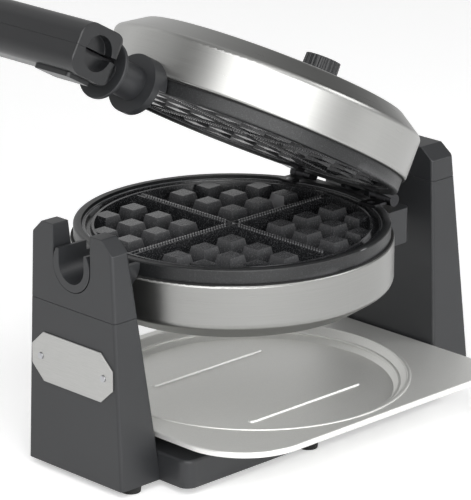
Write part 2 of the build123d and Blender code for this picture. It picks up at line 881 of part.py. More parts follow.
# Base: hollow box between the posts, its cover, screws and the rubber feet
base_length = rear_face + post_back
base_middle = (rear_face - post_back) / 2
with BuildPart() as base_shell:
    with BuildSketch(flat(post_bottom)):
        with Locations((0, base_middle)):
            Rectangle(2 * base_half_width, base_length)
    extrude(amount=base_top - post_bottom)
    fillet(base_shell.edges().filter_by(Axis.Z), 8)
    fillet(base_shell.faces().sort_by(Axis.Z)[-1].edges(), 2)
    with BuildSketch(flat(post_bottom)):
        with Locations((0, base_middle)):
            RectangleRounded(2 * (base_half_width - base_wall), base_length - 2 * base_wall, 8 - base_wall)
    extrude(amount=base_top - post_bottom - base_wall, mode=Mode.SUBTRACT)
    with BuildSketch(flat(base_top)):
        with Locations(*[(0, well_y + k * runner_spread) for k in (-1, 1)]):
            RectangleRounded(2 * base_half_width - 4 * base_wall, runner_width, 2)
    extrude(amount=well_underside - slide_gap - base_top)
    with BuildSketch(flat(post_bottom)):
        with Locations(*[(x, base_middle + y) for x in cover_screw_x for y in cover_screw_y]):
            Circle(cover_post_radius)
    extrude(amount=base_top - post_bottom - base_wall)
    with BuildSketch(flat(post_bottom)):
        with Locations(*[(x, base_middle + y) for x in cover_screw_x for y in cover_screw_y]):
            Circle(2 * cover_post_radius)
    extrude(amount=base_cover_sheet, mode=Mode.SUBTRACT)
save(base_shell.part, "base_shell")

with BuildPart() as base_cover:
    with BuildSketch(flat(post_bottom)):
        with Locations((0, base_middle)):
            RectangleRounded(
                2 * (base_half_width - base_wall - slide_gap),
                base_length - 2 * (base_wall + slide_gap),
                8 - base_wall,
            )
        with Locations(*[(x, base_middle + y) for x in cover_screw_x for y in cover_screw_y]):
            Circle(cover_screw_hole, mode=Mode.SUBTRACT)
        with Locations((0, base_middle)):
            with GridLocations(0, 12, 1, 9):
                SlotOverall(60, 4, mode=Mode.SUBTRACT)
    extrude(amount=base_cover_sheet)
save(base_cover.part, "base_cover")

with BuildPart() as base_screws:
    with BuildSketch(flat(post_bottom)):
        with Locations(*[(x, base_middle + y) for x in cover_screw_x for y in cover_screw_y]):
            Circle(cover_screw_hole)
    extrude(amount=base_cover_sheet)
    with BuildSketch(flat(post_bottom)):
        with Locations(*[(x, base_middle + y) for x in cover_screw_x for y in cover_screw_y]):
            Circle(screw_head_radius)
    extrude(amount=-screw_head_height)
save(base_screws.part, "base_screws")

with BuildPart() as rubber_feet:
    with BuildSketch(flat(post_bottom)):
        with Locations(*[(k * x, y) for x, y in foot_places for k in (-1, 1)]):
            Circle(foot_radius)
    extrude(amount=-post_bottom, taper=8)
save(rubber_feet.part, "rubber_feet")

# Cord inlet bush in the back of the rear post
inlet_lean = degrees(atan2(rear_depth - rear_top_depth, rear_top - post_bottom))
inlet_y = rear_face + rear_depth - (inlet_z - post_bottom) * (rear_depth - rear_top_depth) / (rear_top - post_bottom)
inlet_plane = Plane(origin=(drum_x + inlet_x, drum_y + inlet_y, inlet_z), x_dir=(1, 0, 0), z_dir=(
    0, cos(radians(inlet_lean)), sin(radians(inlet_lean))))
with BuildPart() as cord_inlet:
    with BuildSketch(inlet_plane):
        Circle(inlet_radius)
        Circle(inlet_bore, mode=Mode.SUBTRACT)
    extrude(amount=inlet_length)
    chamfer(cord_inlet.edges().filter_by(GeomType.CIRCLE).group_by(Axis.Y)[-1], 0.8)
save(cord_inlet.part, "cord_inlet")

# Nameplate: bare brushed plate with cut corners, held by two rivets
with BuildPart() as nameplate:
    with BuildSketch(upright(-front_face)):
        with BuildLine():
            Polyline(
                (-plate_flat_half_width, plate_z + plate_half_height),
                (plate_flat_half_width, plate_z + plate_half_height),
                (plate_half_width, plate_z + plate_side_half_height),
                (plate_half_width, plate_z - plate_side_half_height),
                (plate_flat_half_width, plate_z - plate_half_height),
                (-plate_flat_half_width, plate_z - plate_half_height),
                (-plate_half_width, plate_z - plate_side_half_height),
                (-plate_half_width, plate_z + plate_side_half_height),
                close=True,
            )
        make_face()
    extrude(amount=name_sheet)
save(nameplate.part, "nameplate")

with BuildPart() as nameplate_rivets:
    with BuildSketch(upright(-front_face - name_sheet)):
        with Locations((-rivet_spread, plate_z), (rivet_spread, plate_z)):
            Circle(rivet_radius)
    extrude(amount=rivet_rise, taper=20)
save(nameplate_rivets.part, "nameplate_rivets")

# Drip tray: pressed sheet with rounded corners, turned-down lip, round well and two ribs
tray_length = tray_back - tray_front
tray_plan = [
    (tray_x + tray_sheet, tray_front),
    (tray_x + tray_half_width, tray_front),
    (tray_x + tray_half_width, tray_back),
    (tray_x - tray_half_width, tray_back),
    (tray_x - tray_half_width, tray_front),
    (tray_x - tray_sheet, tray_front),
]
tray_radii = [tray_front_corner, tray_rear_corner, tray_rear_corner, tray_front_corner]
with BuildPart() as drip_tray:
    with BuildSketch(flat(tray_rim - tray_lip)):
        with BuildLine():
            FilletPolyline(*tray_plan, radius=tray_radii)
            Line(tray_plan[-1], tray_plan[0])
        make_face()
    extrude(amount=tray_lip)
    fillet(drip_tray.faces().sort_by(Axis.Z)[-1].edges(), 1.2)
    with BuildSketch(flat(tray_rim - tray_lip)):
        with BuildLine():
            FilletPolyline(*tray_plan, radius=tray_radii)
            Line(tray_plan[-1], tray_plan[0])
        make_face()
        offset(amount=-tray_sheet, kind=Kind.INTERSECTION)
    extrude(amount=tray_lip - tray_sheet, mode=Mode.SUBTRACT)
    with BuildSketch(Plane(origin=(drum_x + tray_x, drum_y + well_y, 0), x_dir=(1, 0, 0), z_dir=(0, -1, 0))):
        with BuildLine():
            Polyline(
                (0, tray_rim + 1),
                (well_radius, tray_rim + 1),
                (well_radius, tray_rim),
                (well_floor_radius, well_floor),
                (0, well_floor),
                close=True,
            )
        make_face()
    revolve(axis=Axis((drum_x + tray_x, drum_y + well_y, 0), (0, 0, 1)), mode=Mode.SUBTRACT)
    with BuildSketch(Plane(origin=(drum_x + tray_x, drum_y + well_y, 0), x_dir=(1, 0, 0), z_dir=(0, -1, 0))):
        with BuildLine():
            Polyline(
                (0, well_floor),
                (well_floor_radius, well_floor),
                (well_radius, tray_rim),
                (well_radius + tray_sheet, tray_rim),
                (well_floor_radius + tray_sheet / 2, well_underside),
                (0, well_underside),
                close=True,
            )
        make_face()
    revolve(axis=Axis((drum_x + tray_x, drum_y + well_y, 0), (0, 0, 1)))
    with BuildSketch(flat(well_floor)):
        with Locations(*[(tray_x + k * tray_rib_half_spread, well_y) for k in (-1, 1)]):
            SlotOverall(tray_rib_length, tray_rib_width, rotation=90)
    extrude(amount=tray_rib_rise, taper=30)
save(drip_tray.part, "drip_tray")
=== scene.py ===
"""Dresses the rotary waffle maker: steel drum halves, cast plates, moulded posts, handle and tray."""
import json
import logging
import math
from dataclasses import dataclass, field
from enum import Enum
from typing import Sequence

import bpy
from mathutils import Matrix, Vector

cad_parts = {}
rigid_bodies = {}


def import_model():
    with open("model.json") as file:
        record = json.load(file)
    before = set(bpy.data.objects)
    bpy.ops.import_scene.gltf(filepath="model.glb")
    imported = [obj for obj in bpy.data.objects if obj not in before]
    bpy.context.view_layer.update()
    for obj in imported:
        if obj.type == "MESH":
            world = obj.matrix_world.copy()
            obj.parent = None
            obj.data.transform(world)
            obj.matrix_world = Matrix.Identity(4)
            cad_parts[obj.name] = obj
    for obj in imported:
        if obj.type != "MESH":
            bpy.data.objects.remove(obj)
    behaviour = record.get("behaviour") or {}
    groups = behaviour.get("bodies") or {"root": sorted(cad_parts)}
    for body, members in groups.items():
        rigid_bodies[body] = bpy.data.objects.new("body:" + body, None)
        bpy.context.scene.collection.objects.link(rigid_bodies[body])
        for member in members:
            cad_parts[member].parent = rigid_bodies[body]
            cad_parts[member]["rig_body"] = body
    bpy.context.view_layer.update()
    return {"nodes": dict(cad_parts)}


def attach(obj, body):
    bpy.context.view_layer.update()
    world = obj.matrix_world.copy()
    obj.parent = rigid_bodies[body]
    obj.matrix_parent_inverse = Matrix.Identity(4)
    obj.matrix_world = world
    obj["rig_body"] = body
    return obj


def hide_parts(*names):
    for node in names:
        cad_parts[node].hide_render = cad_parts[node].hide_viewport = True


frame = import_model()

MM = 0.001
DRUM_CENTRE = Vector((-7.1, -12.353, 153.0)) * MM
HINGE_Y = 111.0 * MM
SHELL_RADIUS = 112.3 * MM
LID_OPEN = math.radians(29.5)
SMOOTH_BELOW = math.radians(35)
WELL_CENTRE = Vector((3.9, -0.353, 0.0)) * MM

logging.basicConfig(level=logging.INFO, format="%(message)s")
log = logging.getLogger("waffle_maker")


class Half(Enum):
    """The two halves of the drum."""

    LOWER = -1
    UPPER = 1


class Grain(Enum):
    """How the lines of a brushed metal run."""

    TURNED = "turned"
    STRAIGHT = "straight"


def srgb(code: str) -> tuple[float, float, float, float]:
    """Turn an sRGB hex colour into a linear one.

    Args:
        code: Six hex digits, such as "c0c0c0".

    Returns:
        Linear red, green, blue and an alpha of one.
    """
    parts = [int(code[k:k + 2], 16) / 255 for k in (0, 2, 4)]
    linear = [c / 12.92 if c <= 0.04045 else ((c + 0.055) / 1.055) ** 2.4 for c in parts]
    return (*linear, 1.0)


def add_node(tree: bpy.types.NodeTree, kind: str, links: dict | None = None, **settings) -> bpy.types.Node:
    """Add a node, set its values and link its inputs.

    Args:
        tree: The node tree that gets the node.
        kind: The node's type, such as "ShaderNodeTexNoise".
        links: Input name or index to the output socket that feeds it.
        **settings: Attributes of the node; "values" is a dict of input name or index to value.

    Returns:
        The new node.
    """
    node = tree.nodes.new(kind)
    for name, value in settings.pop("values", {}).items():
        node.inputs[name].default_value = value
    for name, value in settings.items():
        setattr(node, name, value)
    for name, socket in (links or {}).items():
        tree.links.new(socket, node.inputs[name])
    return node


def to_lid(point: Vector) -> Vector:
    """Turn a point of the closed lid to where the open lid holds it.

    Args:
        point: A point in the shared frame with the lid closed, in metres.

    Returns:
        The same point of the lid as it stands open.
    """
    hinge = DRUM_CENTRE + Vector((0, HINGE_Y, 0))
    return hinge + Matrix.Rotation(-LID_OPEN, 3, "X") @ (point - hinge)


@dataclass(frozen=True)
class Finish:
    """A material's real name, how it was made, and what both give the eye."""

    name: str
    tint: str
    roughness: float
    metallic: float = 0.0

    def start(self) -> tuple[bpy.types.Material, bpy.types.NodeTree, bpy.types.Node, bpy.types.Node]:
        """Make the material with its shader and the object coordinates.

        Returns:
            The material, its node tree, the shader and the coordinate node.
        """
        material = bpy.data.materials.new(self.name)
        material.use_nodes = True
        tree = material.node_tree
        shader = tree.nodes["Principled BSDF"]
        shader.inputs["Base Color"].default_value = srgb(self.tint)
        shader.inputs["Metallic"].default_value = self.metallic
        shader.inputs["Roughness"].default_value = self.roughness
        place = add_node(tree, "ShaderNodeTexCoord")
        return material, tree, shader, place

    def vary_tint(self, tree: bpy.types.NodeTree, shader: bpy.types.Node, pattern: bpy.types.NodeSocket,
                  low: float, high: float) -> None:
        """Let a pattern make the tint darker and lighter.

        Args:
            tree: The material's node tree.
            shader: The shader that gets the colour.
            pattern: The pattern's output, from 0 to 1.
            low: What the tint is multiplied by where the pattern is 0.
            high: What the tint is multiplied by where the pattern is 1.
        """
        tint = Vector(srgb(self.tint)[:3])
        mix = add_node(tree, "ShaderNodeMix", {"Factor": pattern}, data_type="RGBA",
                       values={6: (*(tint * low), 1), 7: (*(tint * high), 1)})
        tree.links.new(mix.outputs[2], shader.inputs["Base Color"])

    def vary_roughness(self, tree: bpy.types.NodeTree, shader: bpy.types.Node, pattern: bpy.types.NodeSocket,
                       low: float, high: float) -> None:
        """Let a pattern make the finish smoother and rougher.

        Args:
            tree: The material's node tree.
            shader: The shader that gets the roughness.
            pattern: The pattern's output, from 0 to 1.
            low: What is added to the roughness where the pattern is 0.
            high: What is added to the roughness where the pattern is 1.
        """
        rough = add_node(tree, "ShaderNodeMapRange", {"Value": pattern},
                         values={"To Min": self.roughness + low, "To Max": self.roughness + high})
        tree.links.new(rough.outputs["Result"], shader.inputs["Roughness"])

    def relief(self, tree: bpy.types.NodeTree, shader: bpy.types.Node, height: bpy.types.NodeSocket,
               strength: float, depth: float) -> None:
        """Feed a height pattern into the shader's normal.

        Args:
            tree: The material's node tree.
            shader: The shader that gets the bump.
            height: The pattern's height output.
            strength: Share of the bump that shows, from 0 to 1.
            depth: Real depth of the relief, in metres.
        """
        bump = add_node(tree, "ShaderNodeBump", {"Height": height},
                        values={"Strength": strength, "Distance": depth})
        tree.links.new(bump.outputs["Normal"], shader.inputs["Normal"])


@dataclass(frozen=True)
class Moulding(Finish):
    """Injection-moulded plastic with a fine spark-eroded grain, which scatters its highlights."""

    grain_mm: float = 0.9
    grain_depth_mm: float = 0.05
    grain_share: float = 0.5
    cloud: float = 0.12
    clouds_per_metre: float = 22.0

    def build(self) -> bpy.types.Material:
        """Make the material.

        Returns:
            The finished material.
        """
        material, tree, shader, place = self.start()
        grain = add_node(tree, "ShaderNodeTexNoise", {"Vector": place.outputs["Object"]},
                         values={"Scale": 1 / (self.grain_mm * MM), "Detail": 3.0, "Roughness": 0.6})
        clouds = add_node(tree, "ShaderNodeTexNoise", {"Vector": place.outputs["Object"]},
                          values={"Scale": self.clouds_per_metre, "Detail": 2.0})
        self.vary_tint(tree, shader, clouds.outputs["Fac"], 1 - self.cloud, 1 + self.cloud)
        self.vary_roughness(tree, shader, grain.outputs["Fac"], -0.05, 0.07)
        self.relief(tree, shader, grain.outputs["Fac"], self.grain_share, self.grain_depth_mm * MM)
        return material


@dataclass(frozen=True)
class BrushedSteel(Finish):
    """Stainless sheet brushed with an abrasive belt: fine lines that stretch each highlight across them."""

    grain: Grain = Grain.TURNED
    centre: tuple[float, float, float] = (0.0, 0.0, 0.0)
    tilt: float = 0.0
    line_mm: float = 0.55
    streak_mm: float = 45.0
    contrast: float = 0.10
    anisotropy: float = 0.6
    line_depth_mm: float = 0.03
    line_share: float = 0.25

    def build(self) -> bpy.types.Material:
        """Make the material, with lines round the centre or straight across.

        Returns:
            The finished material.
        """
        material, tree, shader, place = self.start()
        centred = add_node(tree, "ShaderNodeVectorMath", {0: place.outputs["Object"]}, operation="SUBTRACT",
                           values={1: self.centre})
        level = add_node(tree, "ShaderNodeVectorRotate", {"Vector": centred.outputs["Vector"]},
                         rotation_type="X_AXIS", values={"Angle": self.tilt})
        split = add_node(tree, "ShaderNodeSeparateXYZ", {0: level.outputs["Vector"]})
        if self.grain is Grain.TURNED:
            flatten = add_node(tree, "ShaderNodeVectorMath", {0: level.outputs["Vector"]},
                               operation="MULTIPLY", values={1: (1, 1, 0)})
            radius = add_node(tree, "ShaderNodeVectorMath", {0: flatten.outputs["Vector"]},
                              operation="LENGTH")
            turn = add_node(tree, "ShaderNodeMath", {0: split.outputs["X"], 1: split.outputs["Y"]},
                            operation="ARCTAN2")
            along = add_node(tree, "ShaderNodeMath", {0: turn.outputs["Value"]}, operation="MULTIPLY",
                             values={1: SHELL_RADIUS / (self.streak_mm * MM)})
            across, up = radius.outputs["Value"], split.outputs["Z"]
        else:
            along = add_node(tree, "ShaderNodeMath", {0: split.outputs["X"]}, operation="MULTIPLY",
                             values={1: 1 / (self.streak_mm * MM)})
            across, up = split.outputs["Y"], split.outputs["Z"]
        fine = [add_node(tree, "ShaderNodeMath", {0: s}, operation="MULTIPLY",
                         values={1: 1 / (self.line_mm * MM)}) for s in (across, up)]
        lines_at = add_node(tree, "ShaderNodeCombineXYZ", {
            0: fine[0].outputs["Value"], 1: fine[1].outputs["Value"], 2: along.outputs["Value"]})
        lines = add_node(tree, "ShaderNodeTexNoise", {"Vector": lines_at.outputs["Vector"]},
                         values={"Scale": 1.0, "Detail": 4.0, "Roughness": 0.65})
        self.vary_tint(tree, shader, lines.outputs["Fac"], 1 - self.contrast, 1 + self.contrast)
        self.vary_roughness(tree, shader, lines.outputs["Fac"], -0.08, 0.10)
        shader.inputs["Anisotropic"].default_value = self.anisotropy
        tangent = add_node(tree, "ShaderNodeTangent", direction_type="RADIAL", axis="Z")
        tree.links.new(tangent.outputs["Tangent"], shader.inputs["Tangent"])
        self.relief(tree, shader, lines.outputs["Fac"], self.line_share, self.line_depth_mm * MM)
        return material


@dataclass(frozen=True)
class CoatedCasting(Finish):
    """Cast aluminium under a sprayed non-stick coat: charcoal with pale flecks, and a painted highlight on
    its sharp edges.
    """

    fleck: str = "5a5a5c"
    fleck_mm: float = 1.1
    fleck_band: tuple[float, float] = (0.52, 0.72)
    pebble_depth_mm: float = 0.08
    pebble_share: float = 0.6
    # The edge colour, its share and its pointiness band paint a highlight on sharp edges
    edge: str = "98989a"
    edge_share: float = 0.6
    edge_band: tuple[float, float] = (0.53, 0.61)

    def build(self) -> bpy.types.Material:
        """Make the material.

        Returns:
            The finished material.
        """
        material, tree, shader, place = self.start()
        flecks = add_node(tree, "ShaderNodeTexNoise", {"Vector": place.outputs["Object"]},
                          values={"Scale": 1 / (self.fleck_mm * MM), "Detail": 5.0, "Roughness": 0.75})
        spread = add_node(tree, "ShaderNodeMapRange", {"Value": flecks.outputs["Fac"]},
                          values={"From Min": self.fleck_band[0], "From Max": self.fleck_band[1]})
        shade = add_node(tree, "ShaderNodeMix", {"Factor": spread.outputs["Result"]}, data_type="RGBA",
                         values={6: srgb(self.tint), 7: srgb(self.fleck)})
        # Pointiness finds the sharp edges, which get a painted highlight in the edge colour
        form = add_node(tree, "ShaderNodeNewGeometry")
        edge_highlight_mask = add_node(tree, "ShaderNodeMapRange", {"Value": form.outputs["Pointiness"]},
                          values={"From Min": self.edge_band[0], "From Max": self.edge_band[1],
                                  "To Max": self.edge_share})
        painted_edge_highlight = add_node(tree, "ShaderNodeMix", {"Factor": edge_highlight_mask.outputs["Result"], 6: shade.outputs[2]},
                        data_type="RGBA", values={7: srgb(self.edge)})
        tree.links.new(painted_edge_highlight.outputs[2], shader.inputs["Base Color"])
        self.relief(tree, shader, flecks.outputs["Fac"], self.pebble_share, self.pebble_depth_mm * MM)
        return material


@dataclass(frozen=True)
class PressedSteel(Finish):
    """Cold-rolled sheet with a blasted, dull satin face that spreads every reflection."""

    grit_mm: float = 0.8
    grit_depth_mm: float = 0.04
    grit_share: float = 0.35

    def build(self) -> bpy.types.Material:
        """Make the material.

        Returns:
            The finished material.
        """
        material, tree, shader, place = self.start()
        grit = add_node(tree, "ShaderNodeTexNoise", {"Vector": place.outputs["Object"]},
                        values={"Scale": 1 / (self.grit_mm * MM), "Detail": 4.0, "Roughness": 0.7})
        self.vary_tint(tree, shader, grit.outputs["Fac"], 0.9, 1.08)
        self.vary_roughness(tree, shader, grit.outputs["Fac"], -0.06, 0.06)
        self.relief(tree, shader, grit.outputs["Fac"], self.grit_share, self.grit_depth_mm * MM)
        return material


LID_CENTRE = tuple(to_lid(DRUM_CENTRE))

# Stainless steel, belt-brushed round the shell: fine level lines on the wall and rings on the end
# Both shells are one steel tinted apart: the lid lighter and the lower shell darker, as painted light and
# shade
LOWER_SHELL = BrushedSteel("brushed_stainless_lower_shell", "989896", 0.30, 1.0, centre=tuple(DRUM_CENTRE))
UPPER_SHELL = BrushedSteel("brushed_stainless_upper_shell", "a6a6a4", 0.30, 1.0, centre=LID_CENTRE,
                           tilt=LID_OPEN)
# Stainless steel, brushed straight across the small plate
NAME_STEEL = BrushedSteel("brushed_stainless_nameplate", "b2b2b0", 0.36, 1.0, grain=Grain.STRAIGHT,
                          line_mm=0.5, streak_mm=14, contrast=0.2)
# Polypropylene, spark-eroded mould: satin black with wide soft highlights
POST_PLASTIC = Moulding("moulded_polypropylene_black", "2a2b2d", 0.42)
# Phenolic handle moulding: a little smoother and lighter than the posts
HANDLE_PLASTIC = Moulding("moulded_phenolic_charcoal", "17181a", 0.34, grain_mm=0.8)
# ABS knob, finely moulded
KNOB_PLASTIC = Moulding("moulded_abs_black", "1e1f21", 0.38, grain_mm=0.6)
# Vulcanised rubber: dull and dark
FOOT_RUBBER = Moulding("vulcanised_rubber_black", "1b1b1b", 0.8, grain_mm=1.2)
# Nylon bush and thermostat body, natural and unpainted
NATURAL_NYLON = Moulding("moulded_nylon_natural", "cfc8b8", 0.5)
# Cast aluminium under a non-stick coat
PLATE_COAT = CoatedCasting("nonstick_coated_cast_aluminium", "1f2022", 0.26, fleck="646466")
# The same casting, much lighter: a painted highlight along the plate's outer edge
PLATE_RIM_HIGHLIGHT = CoatedCasting("nonstick_coated_edge", "6e6f71", 0.3, fleck="9a9a9c")
# Aluminium ring with a wrinkle coat
RING_COAT = CoatedCasting("wrinkle_coated_aluminium_ring", "151617", 0.42, fleck="3c3d3f", fleck_mm=1.0,
                          pebble_depth_mm=0.12)
# Stainless sheet, blasted and pressed
TRAY_STEEL = PressedSteel("blasted_stainless_tray", "f0f0ed", 0.50, 0.75)
# Zinc-plated steel fasteners and shaft
PLATED_STEEL = PressedSteel("zinc_plated_steel", "b4b5b8", 0.34, 1.0, grit_mm=0.6)
# Phosphate-blackened steel leaves: dark and oily, with soft highlights
BLACK_STEEL = PressedSteel("phosphate_blackened_steel", "3a3a3c", 0.36, 0.85, grit_mm=0.7)
# Heating rod and screen, steel dulled by heat
HEAT_STEEL = PressedSteel("heat_dulled_steel", "77746c", 0.5, 1.0)
# Clear red acrylic lens
LENS = Moulding("moulded_acrylic_red", "b01c14", 0.12, grain_mm=2.0, grain_depth_mm=0.0)

NODE_FINISHES: dict[Finish, tuple[str, ...]] = {
    LOWER_SHELL: ("lower_housing",),
    UPPER_SHELL: ("upper_housing",),
    NAME_STEEL: ("nameplate",),
    POST_PLASTIC: ("base_shell", "base_cover", "front_post_column", "front_post_cap", "rear_post_column",
                   "rear_post_cap", "lower_neck", "upper_neck", "neck_journal", "neck_collar", "rear_bracket",
                   "cord_inlet"),
    HANDLE_PLASTIC: ("handle_upper_shell", "handle_lower_shell", "release_lever"),
    KNOB_PLASTIC: ("browning_knob",),
    FOOT_RUBBER: ("rubber_feet",),
    NATURAL_NYLON: ("rear_bush", "thermostat"),
    PLATE_COAT: ("lower_plate", "upper_plate"),
    RING_COAT: ("lower_bezel", "upper_bezel"),
    TRAY_STEEL: ("drip_tray",),
    PLATED_STEEL: ("base_screws", "nameplate_rivets", "lower_screen_screws", "upper_screen_screws",
                   "rear_shaft", "lower_hinge_screws", "upper_hinge_screws", "handle_pin", "knob_spindle"),
    BLACK_STEEL: ("lower_hinge_leaves", "upper_hinge_leaves", "hinge_pins", "handle_hinge_plate"),
    HEAT_STEEL: ("lower_heating_element", "upper_heating_element", "lower_heat_screen", "upper_heat_screen"),
    LENS: ("indicator_lights",),
}


@dataclass
class Paint:
    """Holds the built materials and puts them on pieces and CAD nodes."""

    built: dict[Finish, bpy.types.Material] = field(default_factory=dict)

    def of(self, finish: Finish) -> bpy.types.Material:
        """Build a finish once and return its material."""
        if finish not in self.built:
            self.built[finish] = finish.build()
        return self.built[finish]

    def coat(self, piece: bpy.types.Object, finish: Finish) -> None:
        """Give the whole piece one finish."""
        piece.data.materials.clear()
        piece.data.materials.append(self.of(finish))

    def coat_nodes(self) -> None:
        """Give every CAD node that shows its finish, in the slots it has."""
        for finish, names in NODE_FINISHES.items():
            for name in names:
                node = frame["nodes"][name]
                if not node.material_slots:
                    node.data.materials.append(self.of(finish))
                for place in node.material_slots:
                    place.material = self.of(finish)


def node_finish(name: str) -> Finish:
    """Find the finish of a CAD node.

    Args:
        name: The node's name.

    Returns:
        Its finish.
    """
    return next(finish for finish, names in NODE_FINISHES.items() if name in names)


def alone(piece: bpy.types.Object) -> None:
    """Select one object and make it active."""
    bpy.ops.object.select_all(action="DESELECT")
    piece.select_set(True)
    bpy.context.view_layer.objects.active = piece


def apply_modifiers(piece: bpy.types.Object) -> None:
    """Apply every modifier of a piece in order."""
    alone(piece)
    for modifier in list(piece.modifiers):
        bpy.ops.object.modifier_apply(modifier=modifier.name)


@dataclass
class SoftEdged:
    """A CAD node's form with its sharp edges rounded, as a mould or press leaves them.

    Edges over edge_degrees are rounded, and faces that lie within flat_degrees of one plane become one.
    """

    node: str
    radius_mm: float
    paint: Paint
    segments: int = 2
    edge_degrees: float = 28.0
    flat_degrees: float = 0.4
    merge_mm: float = 0.002
    level_weight: int = 100

    def build(self) -> bpy.types.Object:
        """Copy the node, round its edges and let the copy stand for it.

        Returns:
            The new piece.
        """
        source = frame["nodes"][self.node]
        piece = source.copy()
        piece.data = source.data.copy()
        piece.name = piece.data.name = f"{self.node}_moulded"
        piece.parent = None
        for key in list(piece.keys()):
            del piece[key]
        piece.matrix_world = Matrix.Identity(4)
        bpy.context.scene.collection.objects.link(piece)
        alone(piece)
        bpy.ops.object.mode_set(mode="EDIT")
        bpy.ops.mesh.select_all(action="SELECT")
        bpy.ops.mesh.remove_doubles(threshold=self.merge_mm * MM)
        bpy.ops.mesh.dissolve_limited(angle_limit=math.radians(self.flat_degrees))
        bpy.ops.object.mode_set(mode="OBJECT")
        bevel = piece.modifiers.new("rounding", "BEVEL")
        bevel.width = self.radius_mm * MM
        bevel.segments = self.segments
        bevel.limit_method = "ANGLE"
        bevel.angle_limit = math.radians(self.edge_degrees)
        bevel.use_clamp_overlap = True
        apply_modifiers(piece)
        bpy.ops.object.shade_smooth_by_angle(angle=SMOOTH_BELOW)
        level = piece.modifiers.new("level_faces", "WEIGHTED_NORMAL")
        level.keep_sharp = True
        level.weight = self.level_weight
        apply_modifiers(piece)
        self.paint.coat(piece, node_finish(self.node))
        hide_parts(self.node)
        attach(piece, source["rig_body"])
        log.info("%s stands for %s", piece.name, self.node)
        return piece


MOULDED_EDGES: dict[str, float] = {
    "front_post_column": 0.6, "front_post_cap": 0.6, "rear_post_column": 0.6, "rear_post_cap": 0.6,
    "lower_neck": 0.6, "upper_neck": 0.6, "neck_journal": 0.6, "neck_collar": 0.6, "rear_bracket": 0.6,
    "handle_upper_shell": 0.7,
    "handle_lower_shell": 0.7, "release_lever": 0.5, "browning_knob": 0.4, "lower_plate": 0.9,
    "upper_plate": 0.9, "drip_tray": 0.35, "nameplate": 0.35, "nameplate_rivets": 0.4,
    "lower_hinge_leaves": 0.3, "upper_hinge_leaves": 0.3, "handle_hinge_plate": 0.3,
}


@dataclass
class DividerRope:
    """Rope-like ridges cast along the grooved tops of the two crossed dividers of a plate."""

    half: Half
    paint: Paint
    top_mm: float = 3.4
    pitch_mm: float = 2.5
    reach_mm: float = 91.0
    hub_mm: float = 7.0
    proud_mm: float = 0.8
    bar_mm: tuple[float, float, float] = (5.8, 1.25, 1.6)
    slant: float = math.radians(42)
    edge_mm: float = 0.35

    def bar(self, slant: float) -> bpy.types.Object:
        """Model one rounded bar, turned by a slant in radians."""
        bpy.ops.object.select_all(action="DESELECT")
        bpy.ops.mesh.primitive_cube_add(size=1)
        bar = bpy.context.object
        bar.scale = Vector(self.bar_mm) * MM
        bar.rotation_euler = (0, 0, slant)
        bpy.ops.object.transform_apply(location=True, rotation=True, scale=True)
        bpy.ops.object.mode_set(mode="EDIT")
        bpy.ops.mesh.select_all(action="SELECT")
        bpy.ops.mesh.bevel(offset=self.edge_mm * MM, segments=2)
        bpy.ops.object.mode_set(mode="OBJECT")
        return bar

    def row(self, arm: int) -> bpy.types.Object:
        """Repeat the bar along one arm of the cross.

        Args:
            arm: The arm's number, counted in quarter turns from the back. The slant changes sides with it.

        Returns:
            The arm's row of bars, in place on the closed drum.
        """
        row = self.bar(self.slant if arm % 2 else -self.slant)
        row.data.transform(Matrix.Translation((0, self.hub_mm * MM, 0)))
        array = row.modifiers.new("row", "ARRAY")
        array.use_relative_offset = False
        array.use_constant_offset = True
        array.constant_offset_displace = (0, self.pitch_mm * MM, 0)
        array.count = int((self.reach_mm - self.hub_mm) / self.pitch_mm)
        apply_modifiers(row)
        height = self.half.value * (self.top_mm + self.bar_mm[2] / 2 - self.proud_mm) * MM
        lift = Matrix.Translation(DRUM_CENTRE + Vector((0, 0, height)))
        row.data.transform(lift @ Matrix.Rotation(arm * math.pi / 2, 4, "Z"))
        return row

    def build(self) -> bpy.types.Object:
        """Make the four rows, join them and let them ride on their half.

        Returns:
            The joined ridges.
        """
        rows = [self.row(arm) for arm in range(4)]
        bpy.ops.object.select_all(action="DESELECT")
        for row in rows:
            row.select_set(True)
        bpy.context.view_layer.objects.active = rows[0]
        bpy.ops.object.join()
        rope = rows[0]
        name = self.half.name.lower()
        rope.name = rope.data.name = f"{name}_divider_rope"
        if self.half is Half.UPPER:
            for vertex in rope.data.vertices:
                vertex.co = to_lid(vertex.co)
        bpy.ops.object.shade_smooth_by_angle(angle=SMOOTH_BELOW)
        self.paint.coat(rope, PLATE_COAT)
        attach(rope, "lid" if self.half is Half.UPPER else "drum")
        log.info("%s laid", rope.name)
        return rope


@dataclass
class RoundBead:
    """A thin flattened bead that runs right round the rim of a plate, a shell or the tray's well."""

    name: str
    centre: Vector
    radius_mm: float
    width_mm: float
    height_mm: float
    finish: Finish
    body: str
    slot_of: str
    paint: Paint
    facets: int = 192
    section_facets: int = 12

    def build(self) -> bpy.types.Object:
        """Turn the bead, flatten it and set it on its body.

        Returns:
            The finished bead.
        """
        bpy.ops.object.select_all(action="DESELECT")
        bpy.ops.mesh.primitive_torus_add(
            major_radius=self.radius_mm * MM, minor_radius=self.width_mm / 2 * MM,
            major_segments=self.facets, minor_segments=self.section_facets)
        bead = bpy.context.object
        bead.name = bead.data.name = self.name
        bpy.ops.object.mode_set(mode="EDIT")
        bpy.ops.mesh.select_all(action="SELECT")
        bpy.ops.transform.resize(value=(1, 1, self.height_mm / self.width_mm))
        bpy.ops.object.mode_set(mode="OBJECT")
        for vertex in bead.data.vertices:
            place = vertex.co + self.centre
            vertex.co = to_lid(place) if self.body == "lid" else place
        bpy.ops.object.shade_smooth()
        self.paint.coat(bead, self.finish)
        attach(bead, self.body)
        log.info("%s laid", bead.name)
        return bead


